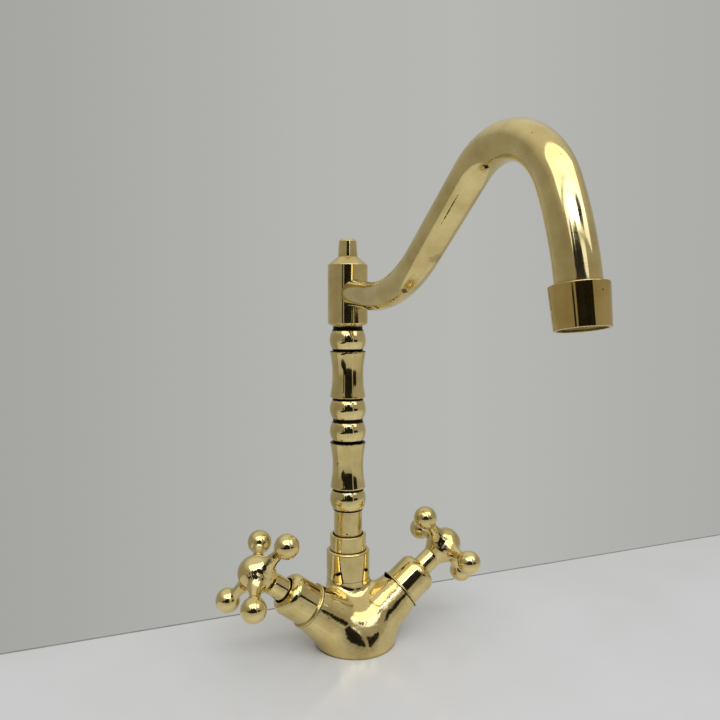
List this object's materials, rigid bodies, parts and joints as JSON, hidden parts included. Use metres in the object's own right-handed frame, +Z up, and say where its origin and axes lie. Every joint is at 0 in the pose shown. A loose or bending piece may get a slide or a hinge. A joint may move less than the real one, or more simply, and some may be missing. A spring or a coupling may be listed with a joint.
{
  "type": "single hole kitchen faucet",
  "caption": "Deck mounted kitchen mixer tap in polished brass with two cross handles, a turned column and a high swan neck swivel spout",
  "frame": {"origin": "centre of the foot's underside, on the sink's surface", "axes": "+Z up, the spout straight towards -Y with the tap at rest, the hot handle towards -X and the cold handle towards +X"},
  "size_m": [0.2069, 0.29, 0.3396],
  "materials": {
    "polished_brass": "polished, unlacquered",
    "machined_brass": "machined, lightly polished",
    "black_rubber": "matte",
    "white_ceramic": "lapped",
    "stainless_steel": "brushed",
    "white_plastic": "matte"
  },
  "bodies": {
    "mixer_body": {"body_casting": "polished_brass", "base_gasket": "black_rubber", "swivel_socket": "polished_brass", "swivel_washer": "white_plastic", "packing_ring": "black_rubber", "gland_nut": "polished_brass", "hot_bonnet": "polished_brass", "hot_valve_body": "machined_brass", "hot_valve_gasket": "black_rubber", "hot_seat_seal": "black_rubber", "hot_fixed_disc": "white_ceramic", "cold_bonnet": "polished_brass", "cold_valve_body": "machined_brass", "cold_valve_gasket": "black_rubber", "cold_seat_seal": "black_rubber", "cold_fixed_disc": "white_ceramic"},
    "spout": {"riser_tube": "machined_brass", "riser_o_ring": "black_rubber", "lower_bead": "polished_brass", "lower_spool": "polished_brass", "middle_bead_low": "polished_brass", "middle_bead_high": "polished_brass", "upper_spool": "polished_brass", "upper_bead": "polished_brass", "spout_head": "polished_brass", "finial_plug": "polished_brass", "spout_tube": "polished_brass", "outlet_socket": "polished_brass", "aerator_washer": "black_rubber", "aerator_screen": "stainless_steel", "aerator_core": "white_plastic", "aerator_shell": "polished_brass"},
    "hot_handle": {"hot_moving_disc": "white_ceramic", "hot_spindle": "machined_brass", "hot_spindle_rings": "black_rubber", "hot_circlip": "stainless_steel", "hot_cross_handle": "polished_brass", "hot_grub_screw": "stainless_steel"},
    "cold_handle": {"cold_moving_disc": "white_ceramic", "cold_spindle": "machined_brass", "cold_spindle_rings": "black_rubber", "cold_circlip": "stainless_steel", "cold_cross_handle": "polished_brass", "cold_grub_screw": "stainless_steel"}
  },
  "joints": [
    {"name": "column_swivel", "type": "hinge", "parent": "mixer_body", "child": "spout", "pos_m": [0, 0.015, 0.055], "axis": [0, 0, 1], "continuous": true},
    {"name": "hot_quarter_turn", "type": "hinge", "parent": "mixer_body", "child": "hot_handle", "pos_m": [-0.0476, 0, 0.04203], "axis": [-0.7934, 0, 0.6088], "range_deg": [0, 90]},
    {"name": "cold_quarter_turn", "type": "hinge", "parent": "mixer_body", "child": "cold_handle", "pos_m": [0.0476, 0, 0.04203], "axis": [0.7934, 0, 0.6088], "range_deg": [-90, 0]}
  ]
}
